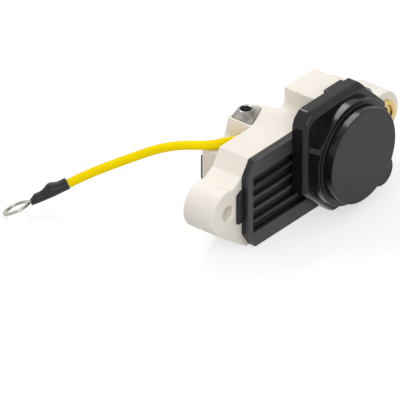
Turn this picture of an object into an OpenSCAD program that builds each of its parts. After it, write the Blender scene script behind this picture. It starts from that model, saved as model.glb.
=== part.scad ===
// Generator voltage regulator with brush holder.
// A cream moulded carrier has two screw ears, a spigot with two sprung carbon brushes and a
// terminal tower at the back. A finned heat sink and an octagonal regulator housing with a
// round lid sit on its front, and a short lead with a ring terminal leaves the tower.
// X runs from ear to ear, Y from the lid at the front to the brushes at the back, Z is up.
// Depths are measured forwards from the mounting face, which seats on the generator.

/* [Mounting ears] */
// Distance between the two ear holes
ear_span = 86.6; // [84:0.2:92]
// Radius of an ear
ear_r = 8.75; // [8:0.25:9.5]
// Height of the ear holes above the base
ear_z = 18; // [16:0.5:19]
// Diameter of an ear hole
ear_hole_d = 5.5; // [4.3:0.1:6]
// Wall of the bush in the right ear
bush_wall = 1.4; // [1:0.1:2]
// Diameter of the bush's flange
bush_flange_d = 11.6; // [10:0.2:13]
// Thickness of the bush's flange
bush_flange_t = 1.15; // [0.8:0.05:1.6]

/* [Carrier] */
// Width of the carrier's body between the ears
body_w = 72; // [70:0.5:74]
// Height of the carrier's body
body_h = 35; // [34:0.5:37]
// Depth of the carrier's body
body_t = 13.1; // [12.5:0.1:16]
// Width of the cut at the body's upper corners
corner_w = 4; // [2:0.5:5]
// Height of the cut at the body's upper corners
corner_h = 6; // [3:0.5:7]
// Distance from the body's side in to the foot
foot_in = 3; // [1:0.5:5]
// Width of the block behind the housing
block_w = 16.8; // [12:0.2:18]
// Distance from the housing's top down to the block's top
block_drop = 2.6; // [2:0.1:4]
// Distance that the block reaches forwards past the body
block_reach = 1.7; // [1:0.1:2.4]
// Distance from the housing's middle to the block's middle
block_in = 1.6; // [1.2:0.1:2.6]
// Radius where the block meets the body
block_fillet = 3; // [1:0.5:4]

/* [Spigot] */
// Width of the spigot
spigot_w = 54; // [50:0.5:58]
// Distance that the spigot stands out of the mounting face
spigot_out = 12.2; // [10:0.1:15]
// Height of the spigot's lower face
spigot_z0 = 3.6; // [2:0.1:4.5]
// Distance from the body's top down to the ledge on the spigot
ledge_drop = 7.6; // [7:0.1:8.4]
// Distance from the body's top down to the lower ledge right of the tower
low_ledge_drop = 12; // [11.7:0.1:14]
// Radius of the spigot's upright edges
spigot_edge_r = 1.2; // [0.5:0.1:2]

/* [Brushes] */
// Width of a brush
brush_w = 5; // [4:0.1:5.6]
// Height of a brush
brush_h = 9.5; // [8:0.1:10.5]
// Length of a brush
brush_l = 16; // [14:0.2:20]
// Length of brush that stands out of the spigot at rest
brush_out = 9.5; // [8.4:0.1:11]
// Distance between the two brushes
brush_pitch = 15; // [14.6:0.1:16]
// Height of the brushes' middle
brush_z = 10.95; // [10:0.05:11.4]
// Clearance around a brush in its chamber
brush_fit = 0.1; // [0.05:0.01:0.2]
// Wall between a brush chamber and the strips
chamber_wall = 1.4; // [1:0.1:2]
// Diameter of a brush spring
spring_d = 4; // [3.2:0.1:4.4]
// Diameter of the spring wire
spring_wire_d = 0.5; // [0.3:0.05:0.6]
// Turns of a brush spring
spring_turns = 8; // [5:1:10]
// Diameter of a brush's flexible lead
pigtail_d = 1.2; // [0.8:0.1:1.6]

/* [Terminal tower] */
// Distance that the tower's rim stands out of the mounting face
tower_out = 10.6; // [10:0.1:11.5]
// Width of the tower at its back
tower_w = 13.4; // [12.5:0.1:15]
// Wall around the terminal
tower_wall = 1; // [0.7:0.1:1.3]
// Depth of the pocket below the terminal
tower_pocket = 7; // [6.6:0.1:7.2]
// Diameter of the terminal's threaded hole
terminal_hole_d = 4.2; // [3.3:0.1:4.2]
// Diameter of the terminal's round mouth
terminal_mouth_d = 5.6; // [5.2:0.1:6]
// Height of the terminal's mouth above the rim
terminal_rise = 3; // [1.5:0.1:4]
// Wall of the terminal's threaded sleeve
terminal_wall = 0.8; // [0.5:0.1:0.8]

/* [Heat sink] */
// Thickness of the heat sink
sink_t = 3.2; // [2.8:0.1:4]
// Gap between the base and the heat sink's lower edge
sink_lift = 0.5; // [0.2:0.1:1]
// Depth of the pocket between the ribs
pocket_deep = 2; // [1:0.1:2.4]
// Frame between the heat sink's side and the pocket
frame_side = 2.8; // [2:0.1:4]
// Frame above and below the pocket
frame_end = 6.1; // [5:0.1:7]
// Number of ribs in the pocket
rib_count = 4; // [2:1:6]
// Thickness of a rib
rib_w = 1; // [0.6:0.1:1.4]
// Gap between a rib's top and the front face
rib_low = 0.3; // [0:0.1:0.6]
// Height of the tab beside each ear
tab_h = 12.5; // [10:0.5:14]
// Distance that a tab stands out of the heat sink's side
tab_out = 3; // [2:0.1:3.2]
// Thickness of a tab
tab_t = 1.2; // [0.6:0.1:1.6]
// Radius of the clearance for the bush's flange in the right tab
head_clear_r = 6.2; // [6:0.1:6.6]

/* [Housing] */
// Distance from the middle of the part to the middle of the housing
housing_x = 10.75; // [10:0.05:12]
// Height and width of the housing's flange
housing_af = 45.2; // [44.8:0.2:46.4]
// Cut at the flange's corners
flange_cut = 13.7; // [13:0.1:14.4]
// Width of the larger cut at the flange's lower left corner
low_cut_w = 15.8; // [13:0.1:16.5]
// Height of the larger cut at the flange's lower left corner
low_cut_h = 13.8; // [13:0.1:14.6]
// Thickness of the housing's flange
flange_t = 6.2; // [5.6:0.1:7.5]
// Radius of the flange's round upper left corner
round_corner_r = 6.3; // [4:0.1:7]
// Radius of the lower lug
lug_r = 5.6; // [5:0.1:6]
// Distance that the lower lug stands out of the flange
lug_out = 1.5; // [0.6:0.1:2.4]
// Extra height of the lower lug
lug_rise = 1.7; // [0.4:0.1:2.2]
// Width of the tongue that rests on the carrier's block
tongue_w = 9.7; // [9:0.1:12]
// Distance from the housing's middle to the tongue's middle
tongue_in = 1.7; // [1.2:0.1:2.2]
// Radius of the housing's lower step
step_r = 20; // [19.8:0.1:21]
// Height of the housing's lower step
step_h = 3.7; // [2.6:0.1:4.2]
// Thickness of the web beside the housing's lower step
web_w = 2; // [1:0.1:2.6]
// Turn of the web about the housing's middle, in degrees
web_turn = 156; // [150:1:165]
// Radius of the housing's upper step
collar_r = 19.3; // [18.6:0.1:19.5]
// Height of the housing's upper step
collar_h = 0.4; // [0.3:0.1:1.5]
// Radius of the housing's round opening
cavity_r = 14.8; // [14.7:0.1:15]

/* [Lid] */
// Radius of the lid
lid_r = 17.9; // [17.7:0.1:18.2]
// Thickness of the lid's rim
lid_t = 3.3; // [2.6:0.1:4.5]
// Height of the shadow groove under the lid
lid_gap = 0.4; // [0.2:0.1:0.8]
// Depth of the groove behind the lid's rim
lid_gap_deep = 0.7; // [0.4:0.1:0.9]
// Bevel on the lid's front edge
lid_bevel = 0.35; // [0.1:0.05:0.6]
// Height of the lid's plug inside the housing
plug_h = 2.6; // [1.5:0.1:3]
// Wall of the lid's plug
plug_wall = 1.4; // [1:0.1:2]
// Clearance between the lid's plug and the housing
plug_fit = 0.15; // [0.05:0.05:0.3]
// Width of the seal ring
seal_w = 1.2; // [0.8:0.1:1.3]
// Height of the seal ring
seal_h = 0.9; // [0.6:0.1:1.2]
// Gap from the housing's opening to the seal's groove
seal_in = 0.6; // [0.5:0.1:0.7]

/* [Circuit] */
// Clearance around the base plate in the housing
plate_fit = 0.3; // [0.2:0.05:0.5]
// Thickness of the heat-conducting pad
pad_t = 0.3; // [0.2:0.05:0.5]
// Thickness of the base plate
plate_t = 1.8; // [1.5:0.1:2]
// Distance from the housing's middle down to the base plate's flat edge
plate_flat = 9.5; // [9:0.1:9.8]
// Width of the circuit plate
board_w = 19; // [18:0.5:20]
// Height of the circuit plate
board_h = 16; // [15:0.5:16.5]
// Thickness of the circuit plate
board_t = 0.8; // [0.6:0.05:1]
// Distance from the housing's middle up to the circuit plate's middle
board_up = 1; // [0:0.1:1.2]
// Side of the control chip
control_side = 6; // [4:0.5:7]
// Side of the power chip
power_side = 7; // [5:0.5:7]
// Height of the control chip
control_h = 1.2; // [0.6:0.1:1.6]
// Height of the power chip
power_h = 1.6; // [0.6:0.1:1.8]
// Diameter of a bond wire
bond_d = 0.5; // [0.3:0.05:0.6]

/* [Contact strips] */
// Thickness of the strips
strip_t = 0.8; // [0.6:0.05:1]
// Width of the strips
strip_w = 2; // [1.6:0.1:2.4]
// Gap between the strips and the heat sink
strip_gap = 0.4; // [0.3:0.05:0.8]
// Distance from the body's top down to the terminal's strip
terminal_strip_drop = 3.5; // [3:0.1:4]
// Clearance around the strips in their grooves
strip_fit = 0.15; // [0.05:0.05:0.25]
// Distance between the contact pins
pin_pitch = 3.5; // [3.2:0.1:3.8]
// Width of a contact pin
pin_w = 1; // [0.8:0.1:1.2]
// Thickness of a contact pin
pin_t = 0.8; // [0.5:0.05:0.9]
// Distance from the housing's middle down to the pins
pin_down = 11.5; // [11.2:0.1:11.6]

/* [Screws] */
// Diameter of the housing screws
screw_d = 2.2; // [1.8:0.1:2.5]
// Diameter of the screw heads
screw_head_d = 4.4; // [4:0.1:4.8]
// Clearance around the screw heads
screw_head_fit = 0.2; // [0.1:0.05:0.3]
// Clearance around the screws in their holes
screw_fit = 0.15; // [0.05:0.05:0.3]
// Height of the screw heads
screw_head_h = 1.8; // [1.2:0.1:2.2]
// Carrier wall under the screw heads
screw_seat = 4.1; // [3:0.1:5]
// Length of screw inside the housing
screw_bite = 4.6; // [3:0.1:5.2]
// Distance from the housing's middle to the screws
screw_circle_r = 17.2; // [17:0.1:17.4]

/* [Lead] */
// Diameter of the yellow lead
lead_d = 3.3; // [3:0.1:3.4]
// Diameter of the lead's copper core
core_d = 1.8; // [1.2:0.1:2]
// Outer diameter of the ring terminal
ring_d = 10.5; // [10:0.1:12]
// Hole in the ring terminal
ring_hole_d = 7.5; // [6:0.1:8]
// Thickness of the ring terminal
ring_t = 0.8; // [0.6:0.05:1]
// Length of the ring terminal's barrel
barrel_l = 6; // [4:0.1:6.4]
// Diameter of the ring terminal's barrel
barrel_d = 3; // [2.8:0.1:3.2]
// Length of the heat-shrink sleeve
sleeve_l = 14.6; // [13:0.1:16]
// Wall of the heat-shrink sleeve over the lead
sleeve_wall = 0.5; // [0.3:0.05:0.6]
// Turn of the ring about the lead's own line, in degrees
ring_roll = 18; // [0:1:30]

/* [Hidden] */
$fn = 96;
bore_fn = 48;

cream = [0.93, 0.89, 0.82];
sink_grey = [0.25, 0.25, 0.27];
housing_black = [0.2, 0.2, 0.2];
brass = [0.8, 0.66, 0.36];
copper = [0.78, 0.45, 0.3];
tinned = [0.75, 0.74, 0.7];
carbon = [0.22, 0.22, 0.22];

// Overlap that joins two solids of one piece
join = 0.5;
// Extra length of a cut past the face that it opens
past = 1;

// Depths of the layers, counted forwards from the mounting face
sink_front = body_t + sink_t;
flange_front = sink_front + flange_t;
step_front = flange_front + step_h;
collar_front = step_front + collar_h;
lid_back = collar_front + lid_gap;
lid_front = lid_back + lid_t;
block_front = body_t + block_reach;
block_h = housing_af - block_drop - body_h;
ledge_z = body_h - ledge_drop;
low_ledge_z = body_h - low_ledge_drop;
brush_tip = spigot_out + brush_out;
brush_root = brush_tip - brush_l;
// The mounting face lies so that the part's depth is centred on Y = 0
mount_y = (lid_front - brush_tip) / 2;

ear_x = ear_span / 2;
housing_z = housing_af / 2;
sink_h = body_h - sink_lift;
bush_r = ear_hole_d / 2 + bush_wall;
brush_left_x = -brush_pitch / 2 - 5.5;
brush_right_x = brush_pitch / 2 - 5.5;
strip_back = body_t - strip_gap - strip_t;
strip_front = body_t - strip_gap;
chamber_front = strip_back - chamber_wall;
pad_front = sink_front + pad_t;
plate_front = pad_front + plate_t;
board_front = plate_front + board_t;
plate_r = cavity_r - plate_fit;
pin_z = housing_z - pin_down;
first_pin_x = 6;
land_r = screw_circle_r + screw_head_d / 2 + 0.6;
lead_r = lead_d / 2;

// The tower's outline, as X and distance behind the mounting face
tower_x0 = -14.6;
tower_x1 = tower_x0 + tower_w;
terminal_x = -9.9;
terminal_back = 5.9;
// The terminal's strip ends under the sleeve's wall and leaves its hole free
terminal_tab_back = terminal_back - terminal_hole_d / 2 - 0.3;
terminal_plate_t = 0.8;
terminal_outline = [[tower_x0 + tower_wall, 0.3], [tower_x0 + tower_wall, tower_out - tower_wall],
    [tower_x1 - tower_wall, tower_out - 3], [tower_x1 - tower_wall, 5.1]];

// Screws: two behind the lower part of the housing and one in the block
screw_angles = [75, -160, -55];
screw_points = [for (a = screw_angles)
    [housing_x + screw_circle_r * cos(a), housing_z + screw_circle_r * sin(a)]];

// The lead's core lies on the end of its strip
lead_z = ledge_z + lead_r + 0.05;
lead_tab_x = -12.2;
lead_tab_z = lead_z - core_d / 2 - strip_t / 2;

// Paths of the strips in the carrier's front, as X and Z
brush_left_path = [[brush_left_x, brush_z], [brush_left_x, 4.4], [first_pin_x, 4.4],
    [first_pin_x, pin_z]];
brush_right_path = [[brush_right_x, brush_z], [brush_right_x, 15.6],
    [first_pin_x + pin_pitch, 15.6], [first_pin_x + pin_pitch, pin_z]];
terminal_strip_z = body_h - terminal_strip_drop;
terminal_path = [[terminal_x, terminal_strip_z], [first_pin_x + 3 * pin_pitch, terminal_strip_z],
    [first_pin_x + 3 * pin_pitch, pin_z]];
lead_path = [[lead_tab_x, lead_tab_z], [first_pin_x + 2 * pin_pitch, lead_tab_z],
    [first_pin_x + 2 * pin_pitch, pin_z]];

// Route of the lead, from inside the tower's wall to the start of the sleeve
LEAD_ROUTE = [[-13.6, 8, 29.1], [-15.6, 8, 29.1], [-18.2, 9.1, 29.1], [-21.3, 11.1, 29.1],
    [-24.3, 12.8, 29.1], [-27, 15.1, 29.1], [-29.4, 18.2, 29.1], [-31.7, 22, 28.6],
    [-33.8, 25.9, 27.5], [-36, 30.3, 25.6], [-38.4, 34.7, 23.2], [-41.2, 39.4, 20.5],
    [-43.9, 43.7, 18], [-46.9, 48, 15.4], [-50, 52.1, 12.7], [-52.8, 55.4, 10.3]];
RING_AT = [-67.4, 66.7, 3];
lead_y = LEAD_ROUTE[0].y;
lead_tab_back = lead_y - mount_y + strip_w / 2;
lead_sides = 8;
sleeve_end = 5.3;
barrel_start = 7.5;
lead_last = LEAD_ROUTE[len(LEAD_ROUTE) - 1];
end_dir = (RING_AT - lead_last) / norm(RING_AT - lead_last);
barrel_end = barrel_start + barrel_l;
lead_points = concat(LEAD_ROUTE, [RING_AT - end_dir * (barrel_end + lead_d),
    RING_AT - end_dir * barrel_end]);

// A solid from depth d0 to depth d1 with an outline drawn in X and Z
module slab(d0, d1)
    translate([0, mount_y - d0, 0]) rotate([90, 0, 0]) linear_extrude(d1 - d0) children();

// A round bar or hole from depth d0 to depth d1 about (x, z)
module bar(x, z, d0, d1, r, fn = bore_fn)
    translate([x, mount_y - d0, z]) rotate([90, 0, 0]) cylinder(h = d1 - d0, r = r, $fn = fn);

module round_rect(w, h, r) {
    square([w - 2 * r, h], center = true);
    square([w, h - 2 * r], center = true);
    for (x = [-1, 1], y = [-1, 1])
        translate([x * (w / 2 - r), y * (h / 2 - r)]) circle(r, $fn = 32);
}

// A band of the strips' width along a path of upright and level runs
module band(path, w)
    for (i = [0 : len(path) - 2]) {
        a = path[i];
        b = path[i + 1];
        translate([min(a.x, b.x) - w / 2, min(a.y, b.y) - w / 2])
            square([abs(a.x - b.x) + w, abs(a.y - b.y) + w]);
    }

function unit(v) = v / norm(v);
function tangent(path, i) =
    unit(path[min(i + 1, len(path) - 1)] - path[max(i - 1, 0)]);

// A tube along a path; lean is a direction that the path never points along
module sweep(path, r, sides, lean) {
    rings = len(path);
    points = [for (i = [0 : rings - 1])
        let (t = tangent(path, i), side = unit(cross(t, lean)), up = cross(side, t))
        for (k = [0 : sides - 1])
            path[i] + r * (cos(360 * k / sides) * side + sin(360 * k / sides) * up)];
    walls = [for (i = [0 : rings - 2], k = [0 : sides - 1], half = [0, 1])
        let (a = i * sides + k, b = i * sides + (k + 1) % sides)
        half == 0 ? [a, b, b + sides] : [a, b + sides, a + sides]];
    start = [for (k = [sides - 1 : -1 : 0]) k];
    end = [for (k = [0 : sides - 1]) (rings - 1) * sides + k];
    polyhedron(points, concat(walls, [start, end]), convexity = 6);
}

// Angle on a circle where the line from a point outside it touches
function touch_angle(p, c, r, way) =
    atan2(p.y - c.y, p.x - c.x) + way * acos(r / norm(p - c));

// The carrier's outline left of the middle
module carrier_half() {
    ear = [-ear_x, ear_z];
    side = -body_w / 2;
    foot = [side + foot_in, 0];
    low = touch_angle(foot, ear, ear_r, -1);
    high = 74;
    polygon([[0, 0], foot,
        ear + ear_r * [cos(low), sin(low)], ear,
        ear + ear_r * [cos(high), sin(high)],
        [side, body_h - corner_h], [side + corner_w, body_h], [0, body_h]]);
    translate(ear) circle(ear_r);
}

module carrier_outline() {
    carrier_half();
    mirror([1, 0]) carrier_half();
}

module block() {
    translate([housing_x + block_in - block_w / 2, 0]) {
        slab(0, body_t) translate([0, body_h - join]) square([block_w, block_h + join]);
        slab(body_t - join, block_front) translate([0, body_h]) square([block_w, block_h]);
        for (side = [0, 1])
            translate([side * block_w, 0, 0]) mirror([side, 0, 0]) slab(0, body_t)
                translate([-block_fillet, body_h]) difference() {
                    translate([0, -join]) square([block_fillet + join, block_fillet + join]);
                    translate([0, block_fillet]) circle(block_fillet);
                }
    }
}

// The spigot steps down to its lower ledge right of the tower
module spigot() {
    depth = spigot_out + body_t / 2;
    translate([0, mount_y + spigot_out - depth / 2, spigot_z0]) {
        linear_extrude(low_ledge_z - spigot_z0) round_rect(spigot_w, depth, spigot_edge_r);
        linear_extrude(ledge_z - spigot_z0) intersection() {
            round_rect(spigot_w, depth, spigot_edge_r);
            translate([-spigot_w, -depth]) square([spigot_w + tower_x1, 2 * depth]);
        }
    }
}

module tower_outline(out)
    polygon([[tower_x0, -2], [tower_x0, out - 1], [tower_x0 + 0.3, out - 0.3],
        [tower_x0 + 1, out], [tower_x1 - 1, out - 1.4], [tower_x1, out - 2.4],
        [tower_x1 + 2.6, 0], [tower_x1 + 2.6, -2]]);

module tower()
    translate([0, mount_y, 0]) hull() {
        translate([0, 0, ledge_z - join]) linear_extrude(join) tower_outline(spigot_out);
        translate([0, 0, body_h - join]) linear_extrude(join) tower_outline(tower_out);
    }

// What is cut out of the carrier for one brush
module chamber(x) {
    slab(-spigot_out - past, chamber_front)
        translate([x, brush_z]) square([brush_w, brush_h] + 2 * [brush_fit, brush_fit],
            center = true);
    bar(x, brush_z, chamber_front - past, strip_back + past, pigtail_d / 2 + 0.2, 24);
}

module strip_groove(path)
    slab(strip_back, body_t + past) band(path, strip_w + 2 * strip_fit);

// The level run from a strip's end back to the tower
module back_run(x, z, back, grow)
    slab(-back - grow, strip_back + join)
        translate([x, z]) square([strip_w + 2 * grow, strip_t + 2 * grow], center = true);

module carrier() color(cream) difference() {
    union() {
        slab(0, body_t) carrier_outline();
        block();
        spigot();
        tower();
    }
    bar(-ear_x, ear_z, -past, body_t + past, ear_hole_d / 2);
    bar(ear_x, ear_z, -past, body_t + past, bush_r);
    chamber(brush_left_x);
    chamber(brush_right_x);
    for (path = [brush_left_path, brush_right_path, terminal_path, lead_path])
        strip_groove(path);
    back_run(terminal_x, terminal_strip_z, terminal_tab_back, strip_fit);
    back_run(lead_tab_x, lead_tab_z, lead_tab_back, strip_fit);
    for (p = screw_points) {
        bar(p.x, p.y, -spigot_out - past, body_t - screw_seat,
            screw_head_d / 2 + screw_head_fit);
        bar(p.x, p.y, 0, block_front + past, screw_d / 2 + screw_fit);
    }
    translate([0, mount_y, body_h - tower_pocket]) linear_extrude(tower_pocket + past)
        polygon(terminal_outline);
    translate([tower_x0 - past, lead_y, lead_z]) rotate([0, 90, 0])
        cylinder(h = tower_wall + past, r = lead_r, $fn = bore_fn);
}

// The heat sink's outline right of the middle
module sink_half() {
    half = body_w / 2;
    polygon([[0, sink_lift], [half - corner_w, sink_lift], [half, sink_lift + corner_h],
        [half, body_h - corner_h], [half - corner_w, body_h], [0, body_h]]);
}

module sink_tab() {
    half = body_w / 2;
    polygon([[half - join, ear_z - tab_h / 2], [half + tab_out, ear_z - tab_h / 2],
        [half + tab_out, ear_z + tab_h / 2 - 1.2], [half + tab_out - 2, ear_z + tab_h / 2],
        [half - join, ear_z + tab_h / 2]]);
}

module sink_pocket()
    difference() {
        translate([-body_w / 2 + frame_side, sink_lift + frame_end])
            square([body_w / 2 + housing_x, sink_h - 2 * frame_end]);
        translate([housing_x, housing_z]) circle(land_r);
    }

module heat_sink() color(sink_grey) difference() {
    pocket_h = sink_h - 2 * frame_end;
    rib_pitch = (pocket_h + rib_w) / (rib_count + 1);
    union() {
        difference() {
            slab(body_t, sink_front) {
                sink_half();
                mirror([1, 0]) sink_half();
            }
            slab(sink_front - pocket_deep, sink_front + past) sink_pocket();
        }
        slab(body_t, body_t + tab_t) {
            sink_tab();
            mirror([1, 0]) sink_tab();
        }
        slab(sink_front - pocket_deep - join, sink_front - rib_low) intersection() {
            sink_pocket();
            for (i = [1 : rib_count])
                translate([-body_w / 2, sink_lift + frame_end + i * rib_pitch - rib_w])
                    square([body_w, rib_w]);
        }
    }
    bar(ear_x, ear_z, body_t - past, sink_front + past, head_clear_r);
    slab(body_t - past, sink_front + past) pin_window();
    for (p = screw_points)
        bar(p.x, p.y, body_t - past, sink_front + past, screw_d / 2 + screw_fit);
}

module pin_window()
    translate([first_pin_x - 1.5, pin_z - 1])
        square([3 * pin_pitch + 3, 2]);

module housing_outline()
    translate([housing_x, housing_z]) {
        half = housing_af / 2;
        polygon([[-half, low_cut_h - half], [low_cut_w - half, -half],
            [half - flange_cut, -half], [half, flange_cut - half],
            [half, half - flange_cut], [half - flange_cut, half],
            [round_corner_r - half, half], [-half, half - round_corner_r]]);
        translate([round_corner_r - half, half - round_corner_r]) circle(round_corner_r);
    }

module lower_lug()
    translate([housing_x + housing_af / 2 + lug_out - lug_r, lug_r]) {
        circle(lug_r);
        translate([-lug_r, 0]) square(lug_r);
    }

module housing() color(housing_black) difference() {
    union() {
        slab(sink_front, flange_front) housing_outline();
        slab(sink_front, flange_front + lug_rise) lower_lug();
        slab(block_front, sink_front + join)
            translate([housing_x + tongue_in - tongue_w / 2, body_h])
                square([tongue_w, housing_af - body_h]);
        bar(housing_x, housing_z, flange_front - join, step_front, step_r, 96);
        bar(housing_x, housing_z, step_front - join, collar_front, collar_r, 96);
        translate([housing_x, 0, housing_z]) rotate([0, -web_turn, 0])
            translate([step_r - join, mount_y - flange_front, -web_w / 2]) linear_extrude(web_w)
                polygon([[0, join], [2.6, join], [2.6, 0], [join, -step_h], [0, -step_h]]);
    }
    bar(housing_x, housing_z, sink_front - past, collar_front + past, cavity_r, 96);
    translate([housing_x, mount_y - collar_front + seal_h, housing_z]) rotate([90, 0, 0])
        rotate_extrude() translate([cavity_r + seal_in, 0]) square([seal_w, seal_h + past]);
    for (p = screw_points)
        bar(p.x, p.y, block_front - past, sink_front + screw_bite, screw_d / 2);
}

module lid() color(housing_black)
    translate([housing_x, mount_y - collar_front, housing_z]) rotate([90, 0, 0])
        rotate_extrude() {
            plug_r = cavity_r - plug_fit;
            polygon([[0, 1], [plug_r - plug_wall, 1], [plug_r - plug_wall, -plug_h],
                [plug_r, -plug_h], [plug_r, 0], [lid_r - lid_gap_deep, 0],
                [lid_r - lid_gap_deep, lid_gap], [lid_r, lid_gap],
                [lid_r, lid_gap + lid_t - lid_bevel], [lid_r - lid_bevel, lid_gap + lid_t],
                [0, lid_gap + lid_t]]);
        }

module lid_seal() color("dimgray")
    translate([housing_x, mount_y - collar_front + seal_h, housing_z]) rotate([90, 0, 0])
        rotate_extrude() translate([cavity_r + seal_in, 0]) square([seal_w, seal_h]);

module ear_bush() color(brass) difference() {
    union() {
        bar(ear_x, ear_z, 0, body_t + join, bush_r);
        bar(ear_x, ear_z, body_t, body_t + bush_flange_t, bush_flange_d / 2);
    }
    bar(ear_x, ear_z, -past, body_t + bush_flange_t + past, ear_hole_d / 2);
}

module screw_terminal() color(tinned) difference() {
    sleeve_r = terminal_hole_d / 2 + terminal_wall;
    sleeve_z = terminal_strip_z + strip_t / 2;
    union() {
        hull() {
            translate([0, mount_y, body_h - terminal_plate_t])
                linear_extrude(terminal_plate_t) polygon(terminal_outline);
            translate([terminal_x, mount_y + terminal_back, body_h + terminal_rise - 0.3])
                cylinder(h = 0.3, d = terminal_mouth_d, $fn = 32);
        }
        translate([terminal_x, mount_y + terminal_back, sleeve_z])
            cylinder(h = body_h - sleeve_z, r = sleeve_r, $fn = bore_fn);
    }
    translate([terminal_x, mount_y + terminal_back, sleeve_z - past])
        cylinder(h = body_h - sleeve_z + terminal_rise + 2 * past, d = terminal_hole_d,
            $fn = bore_fn);
}

module housing_screws() color("silver")
    for (p = screw_points) {
        seat = body_t - screw_seat;
        bar(p.x, p.y, seat - screw_head_h, seat, screw_head_d / 2, 32);
        bar(p.x, p.y, seat - join, sink_front + screw_bite, screw_d / 2, 32);
    }

module plate_outline(r)
    translate([housing_x, housing_z]) intersection() {
        circle(r);
        translate([-r, -plate_flat]) square([2 * r, plate_flat + r]);
    }

module thermal_pad() color("lightgray") slab(sink_front, pad_front) plate_outline(plate_r - 0.5);

module base_plate() color("silver") slab(pad_front, plate_front) plate_outline(plate_r);

module circuit_plate() color("whitesmoke")
    slab(plate_front, board_front)
        translate([housing_x, housing_z + board_up]) square([board_w, board_h], center = true);

// A flat part on the circuit plate, centred at (x, z) from the housing's middle
module chip(x, z, w, h, t)
    slab(board_front, board_front + t)
        translate([housing_x + x, housing_z + board_up + z]) square([w, h], center = true);

module control_chip() color("black") chip(-5, 2.5, control_side, control_side, control_h);
module power_chip() color("black") chip(4.6, 2.8, power_side, power_side, power_h);
module flyback_diode() color("dimgray") chip(5, -4, 4, 2.6, 1.5);
module capacitors() color("tan") {
    chip(-7, -3.6, 1.6, 3, 1.5);
    chip(-3.4, -3.6, 1.6, 3, 1.5);
}

module contact_pins() color(brass)
    for (i = [0 : 3])
        slab(strip_front, board_front)
            translate([first_pin_x + i * pin_pitch, pin_z]) square([pin_w, pin_t], center = true);

module bond_wires() color("silver")
    for (i = [0 : 3]) {
        reach = (pin_down + board_up - board_h / 2 + 0.8) / 2;
        translate([first_pin_x + i * pin_pitch, mount_y - board_front, pin_z + reach])
            rotate([180, -90, 0]) rotate_extrude(angle = 180)
                translate([reach, 0]) circle(d = bond_d, $fn = 16);
    }

// The flat front run of a stamped strip
module flat_strip(path) slab(strip_back, strip_front) band(path, strip_w);

module brush_strip_left() color(brass) flat_strip(brush_left_path);
module brush_strip_right() color(brass) flat_strip(brush_right_path);
module terminal_strip() color(brass) {
    flat_strip(terminal_path);
    back_run(terminal_x, terminal_strip_z, terminal_tab_back, 0);
}
module lead_strip() color(brass) {
    flat_strip(lead_path);
    back_run(lead_tab_x, lead_tab_z, lead_tab_back, 0);
}

module lead_core() color(copper)
    translate([LEAD_ROUTE[0].x, lead_y, lead_z]) rotate([0, 90, 0])
        cylinder(h = lead_tab_x + strip_w / 2 - LEAD_ROUTE[0].x, d = core_d, $fn = 24);

module crimped_core() color(copper)
    at_ring() translate([-barrel_end, 0, 0]) rotate([0, 90, 0])
        cylinder(h = barrel_l - 0.5, d = core_d, $fn = 24);

module brush(x) color(carbon) difference() {
    slab(-brush_tip, -brush_root)
        translate([x, brush_z]) square([brush_w, brush_h], center = true);
    bar(x, brush_z, -brush_root - 4, -brush_root + past, pigtail_d / 2, 24);
}
module brush_left() brush(brush_left_x);
module brush_right() brush(brush_right_x);

module spring(x) color("silver") {
    length = chamber_front + brush_root - spring_wire_d;
    steps = 12;
    r = (spring_d - spring_wire_d) / 2;
    path = [for (i = [0 : spring_turns * steps])
        [x + r * cos(360 * i / steps),
            mount_y + brush_root - spring_wire_d / 2 - length * i / (spring_turns * steps),
            brush_z + r * sin(360 * i / steps)]];
    sweep(path, spring_wire_d / 2, 6, [0, 1, 0]);
}
module spring_left() spring(brush_left_x);
module spring_right() spring(brush_right_x);

module pigtail(x) color(copper)
    bar(x, brush_z, -brush_root - 4, strip_back, pigtail_d / 2, 24);
module pigtail_left() pigtail(brush_left_x);
module pigtail_right() pigtail(brush_right_x);

module lead() color("gold") sweep(lead_points, lead_r, lead_sides, [0, 0, 1]);

// Places a piece at the ring: X runs out through the ring's tip along the lead's line
module at_ring()
    translate(RING_AT)
        rotate([ring_roll, -asin(end_dir.z), atan2(end_dir.y, end_dir.x)]) children();

module lead_sleeve() color("#333333")
    at_ring() rotate([0, -90, 0]) rotate_extrude($fn = 48) {
        lead_out = lead_r + sleeve_wall;
        barrel_out = barrel_d / 2 + 0.35;
        last = sleeve_end + sleeve_l;
        polygon([[barrel_d / 2, sleeve_end], [barrel_out - 0.1, sleeve_end],
            [barrel_out, sleeve_end + 1.5], [barrel_out + 0.05, barrel_end - 3],
            [lead_out + 0.45, barrel_end], [lead_out + 0.45, barrel_end + 2],
            [lead_out, barrel_end + 3.2], [lead_out, last], [lead_r, last],
            [lead_r, barrel_end], [barrel_d / 2, barrel_end]]);
    }

module ring_terminal() color(tinned) at_ring() difference() {
    union() {
        translate([0, 0, -ring_t / 2]) cylinder(h = ring_t, d = ring_d, $fn = bore_fn);
        translate([-barrel_start - join, -1.2, -ring_t / 2])
            cube([barrel_start + join - ring_d / 2 + 1, 2.4, ring_t]);
        translate([-barrel_end, 0, 0]) rotate([0, 90, 0])
            cylinder(h = barrel_l, d = barrel_d, $fn = bore_fn);
    }
    translate([0, 0, -ring_t]) cylinder(h = 2 * ring_t, d = ring_hole_d, $fn = bore_fn);
    translate([-barrel_end - past, 0, 0]) rotate([0, 90, 0])
        cylinder(h = barrel_l - 0.5 + past, d = core_d, $fn = 24);
}

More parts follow.
